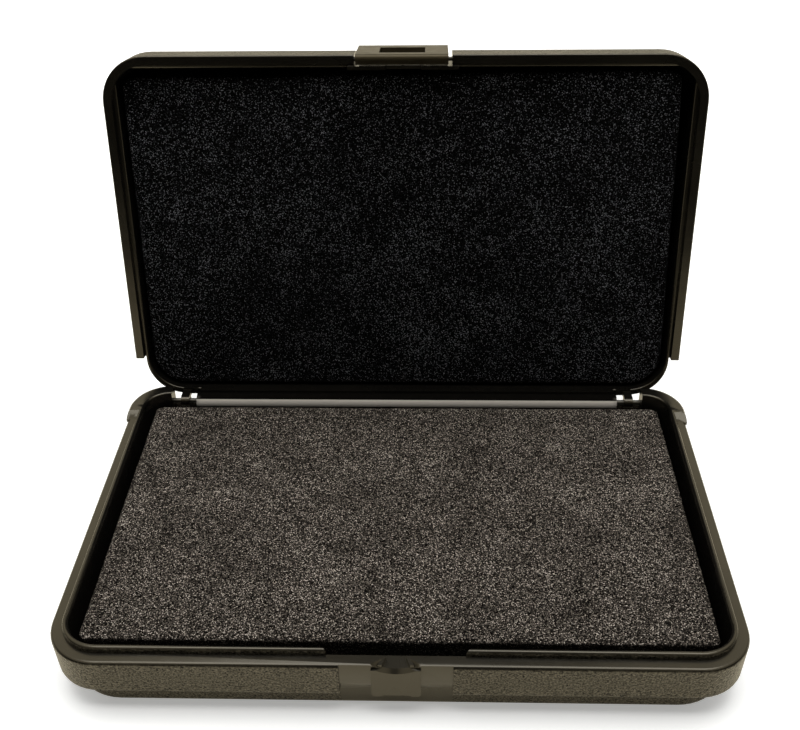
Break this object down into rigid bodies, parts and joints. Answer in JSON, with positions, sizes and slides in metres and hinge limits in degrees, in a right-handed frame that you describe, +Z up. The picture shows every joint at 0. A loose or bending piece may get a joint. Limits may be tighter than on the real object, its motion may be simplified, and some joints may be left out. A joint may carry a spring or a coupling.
{
  "type": "blow molded case",
  "caption": "Open blow moulded carrying case with a foam pad in each half, a lid on pin hinges and a swinging snap latch.",
  "frame": {"origin": "centre of the flat bottom of the base, in the plane it stands on", "axes": "+X along the width, to the right seen from the latch side; -Y towards the front with the latch pocket; +Z up"},
  "size_m": [0.2714, 0.2232, 0.1977],
  "materials": {
    "moulded_shell": "fine grained black plastic",
    "moulded_latch": "satin black plastic",
    "black_pin": "black coated steel",
    "base_foam": "open celled charcoal foam",
    "lid_foam": "open celled charcoal foam"
  },
  "bodies": {
    "base": {"base_shell": "moulded_shell", "base_foam": "base_foam", "hinge_pin_left": "black_pin", "hinge_pin_right": "black_pin"},
    "lid": {"lid_shell": "moulded_shell", "lid_foam": "lid_foam", "latch_pin": "black_pin"},
    "latch": {"latch": "moulded_latch"}
  },
  "joints": [
    {"name": "lid_hinge", "type": "hinge", "parent": "base", "child": "lid", "pos_m": [0, 0.0825, 0.024], "axis": [-1, 0, 0], "range_deg": [-99, 0]},
    {"name": "latch_pivot", "type": "hinge", "parent": "lid", "child": "latch", "pos_m": [0, 0.11599, 0.18747], "axis": [-1, 0, 0], "range_deg": [-2, 70]}
  ]
}
